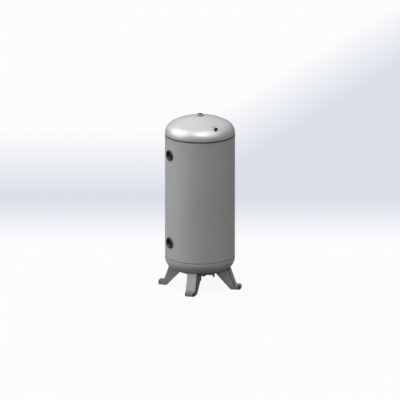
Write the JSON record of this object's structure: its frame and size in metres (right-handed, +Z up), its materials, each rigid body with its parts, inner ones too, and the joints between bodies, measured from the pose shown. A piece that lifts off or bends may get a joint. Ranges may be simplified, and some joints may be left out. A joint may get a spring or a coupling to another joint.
{
  "type": "air receiver tank",
  "caption": "Vertical welded air receiver on pressed legs, with dished heads, threaded ports on top and side, a gauge port and a quarter-turn drain valve.",
  "frame": {"origin": "on the vessel's axis at floor level, under the feet", "axes": "+Z up along the vessel's axis, -X along the side ports, -Y along the gauge port, legs on the diagonals"},
  "size_m": [0.528, 0.508, 1.293],
  "materials": {
    "vessel_paint": "satin grey enamel",
    "weld_bead": "dark painted weld bead",
    "port_steel": "dark forged steel",
    "valve_brass": "machined",
    "polished_steel": "polished",
    "seat_polymer": "matte",
    "handle_steel": "zinc plated",
    "plate_aluminium": "satin"
  },
  "bodies": {
    "vessel": {"bottom_girth_weld": "weld_bead", "bottom_head": "vessel_paint", "data_plate": "plate_aluminium", "drain_coupling": "vessel_paint", "drain_weld": "weld_bead", "gauge_coupling": "port_steel", "gauge_weld": "weld_bead", "leg_front_left": "vessel_paint", "leg_front_left_weld": "weld_bead", "leg_front_right": "vessel_paint", "leg_front_right_weld": "weld_bead", "leg_rear_left": "vessel_paint", "leg_rear_left_weld": "weld_bead", "leg_rear_right": "vessel_paint", "leg_rear_right_weld": "weld_bead", "long_seam_weld": "weld_bead", "lower_seat_ring": "seat_polymer", "lower_side_coupling": "port_steel", "lower_side_weld": "weld_bead", "plate_bracket": "vessel_paint", "plate_rivets": "plate_aluminium", "shell": "vessel_paint", "stem_packing": "seat_polymer", "top_girth_weld": "weld_bead", "top_head": "vessel_paint", "top_outlet_coupling": "vessel_paint", "top_outlet_weld": "weld_bead", "upper_seat_ring": "seat_polymer", "upper_side_coupling": "port_steel", "upper_side_weld": "weld_bead", "valve_body": "valve_brass", "valve_end": "valve_brass"},
    "drain_handle": {"ball": "polished_steel", "stem": "polished_steel", "handle": "handle_steel", "handle_nut": "handle_steel"}
  },
  "joints": [
    {"name": "drain_valve_turn", "type": "hinge", "parent": "vessel", "child": "drain_handle", "pos_m": [-0.0175, 0, 0.064], "axis": [-1, 0, 0], "range_deg": [0, 90]}
  ]
}
